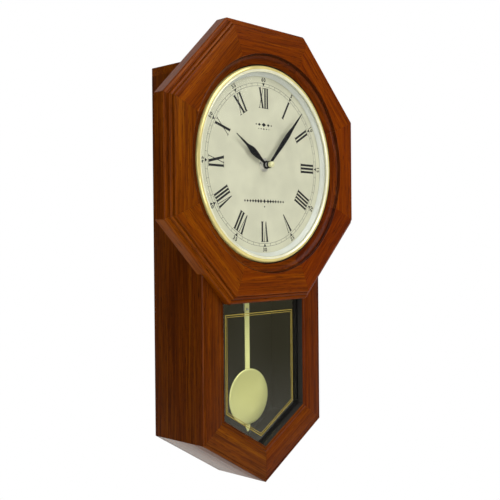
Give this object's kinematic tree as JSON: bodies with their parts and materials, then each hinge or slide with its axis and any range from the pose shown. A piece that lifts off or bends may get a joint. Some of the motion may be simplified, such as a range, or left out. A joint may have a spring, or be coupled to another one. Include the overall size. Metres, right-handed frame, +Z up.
{
  "type": "wall clock",
  "caption": "Drop-octagon wall clock in lacquered wood with a Roman dial, domed crystal, quartz chime movement, glazed lower window and a brass pendulum swinging behind it",
  "frame": {"origin": "the point where the wall hook bears at the top of the keyhole, on the wall plane", "axes": "+X to the viewer's right, +Z up, +Y from the dial towards the wall"},
  "size_m": [0.34, 0.106, 0.567],
  "materials": {
    "lacquered_wood": "dark brown lacquer, semi-gloss",
    "back_board": "plain board, matt",
    "brass": "polished",
    "steel": "bright plated",
    "glass": "clear",
    "dial_cream": "printed cream dial, matt",
    "rehaut_grey": "satin light grey",
    "black_enamel": "black enamel",
    "black_plastic": "moulded black",
    "white_nylon": "natural nylon",
    "circuit_green": "coated circuit board",
    "copper_winding": "enamelled copper winding",
    "battery_sleeve": "printed steel sleeve"
  },
  "bodies": {
    "root": {"back_panel": "back_board", "battery_contact_left": "steel", "battery_contact_right": "steel", "battery_left": "battery_sleeve", "battery_right": "battery_sleeve", "bezel_ring": "brass", "bottom_board_left": "lacquered_wood", "bottom_board_right": "lacquered_wood", "case_side_left": "lacquered_wood", "case_side_right": "lacquered_wood", "case_top": "lacquered_wood", "circuit_board": "circuit_green", "crystal": "glass", "dial_nut": "brass", "dial_pan": "black_plastic", "dial_plate": "dial_cream", "glass_bead_left": "lacquered_wood", "glass_bead_right": "lacquered_wood", "hanger_cleat": "lacquered_wood", "hanger_plate": "steel", "hanger_screw_left": "steel", "hanger_screw_right": "steel", "light_sensor": "black_enamel", "lower_rail_left": "lacquered_wood", "lower_rail_right": "lacquered_wood", "motor_module": "copper_winding", "movement_case": "black_plastic", "movement_front_plate": "black_plastic", "octagon_rail_bottom": "lacquered_wood", "octagon_rail_left": "lacquered_wood", "octagon_rail_lower_left": "lacquered_wood", "octagon_rail_lower_right": "lacquered_wood", "octagon_rail_right": "lacquered_wood", "octagon_rail_top": "lacquered_wood", "octagon_rail_upper_left": "lacquered_wood", "octagon_rail_upper_right": "lacquered_wood", "pendulum_coil": "copper_winding", "pendulum_drive_case": "black_plastic", "rehaut_ring": "rehaut_grey", "speaker": "black_plastic", "stile_left": "lacquered_wood", "stile_right": "lacquered_wood", "train_plate": "white_nylon", "window_glass": "glass", "window_head": "lacquered_wood"},
    "minute": {"minute_hand": "black_enamel", "cannon_pinion": "steel", "hand_cap": "brass"},
    "hour": {"hour_hand": "black_enamel", "hour_wheel": "white_nylon"},
    "reduction": {"minute_wheel": "white_nylon"},
    "setter": {"time_set_knob": "black_plastic"},
    "pendulum": {"pendulum_leader": "white_nylon", "pendulum_magnet": "steel", "pendulum_rod": "brass", "pendulum_bob": "brass"},
    "volume": {"volume_knob": "black_plastic"},
    "selector": {"chime_selector": "white_nylon"},
    "tester": {"test_button": "white_nylon"},
    "cover": {"battery_cover": "black_plastic"}
  },
  "joints": [
    {"name": "minute_spin", "type": "hinge", "parent": "root", "child": "minute", "pos_m": [0, -0.0964, -0.1], "axis": [0, 1, 0], "continuous": true},
    {"name": "hour_spin", "type": "hinge", "parent": "root", "child": "hour", "pos_m": [0, -0.0912, -0.1], "axis": [0, 1, 0], "continuous": true},
    {"name": "reduction_spin", "type": "hinge", "parent": "root", "child": "reduction", "pos_m": [-0.01559, -0.077, -0.091], "axis": [0, 1, 0], "continuous": true},
    {"name": "setter_spin", "type": "hinge", "parent": "root", "child": "setter", "pos_m": [-0.03359, -0.044, -0.091], "axis": [0, 1, 0], "continuous": true},
    {"name": "pendulum_swing", "type": "hinge", "parent": "root", "child": "pendulum", "pos_m": [0, -0.052, -0.168], "axis": [0, 1, 0], "range_deg": [-7, 7]},
    {"name": "volume_turn", "type": "hinge", "parent": "root", "child": "volume", "pos_m": [0.032, -0.044, -0.078], "axis": [0, 1, 0], "range_deg": [-135, 135]},
    {"name": "selector_slide", "type": "slide", "parent": "root", "child": "selector", "axis": [1, 0, 0], "range_m": [-0.005, 0.005]},
    {"name": "test_press", "type": "slide", "parent": "root", "child": "tester", "axis": [0, -1, 0], "range_m": [0, 0.0015], "stiffness_N_per_m": 200, "springref_m": -0.0005},
    {"name": "cover_slide", "type": "slide", "parent": "root", "child": "cover", "axis": [0, 1, 0], "range_m": [0, 0.03]}
  ],
  "couplings": [
    {"joint": "hour_spin", "follows": "minute_spin", "ratio": 0.083333},
    {"joint": "reduction_spin", "follows": "minute_spin", "ratio": -0.33333},
    {"joint": "setter_spin", "follows": "minute_spin", "ratio": 1}
  ]
}
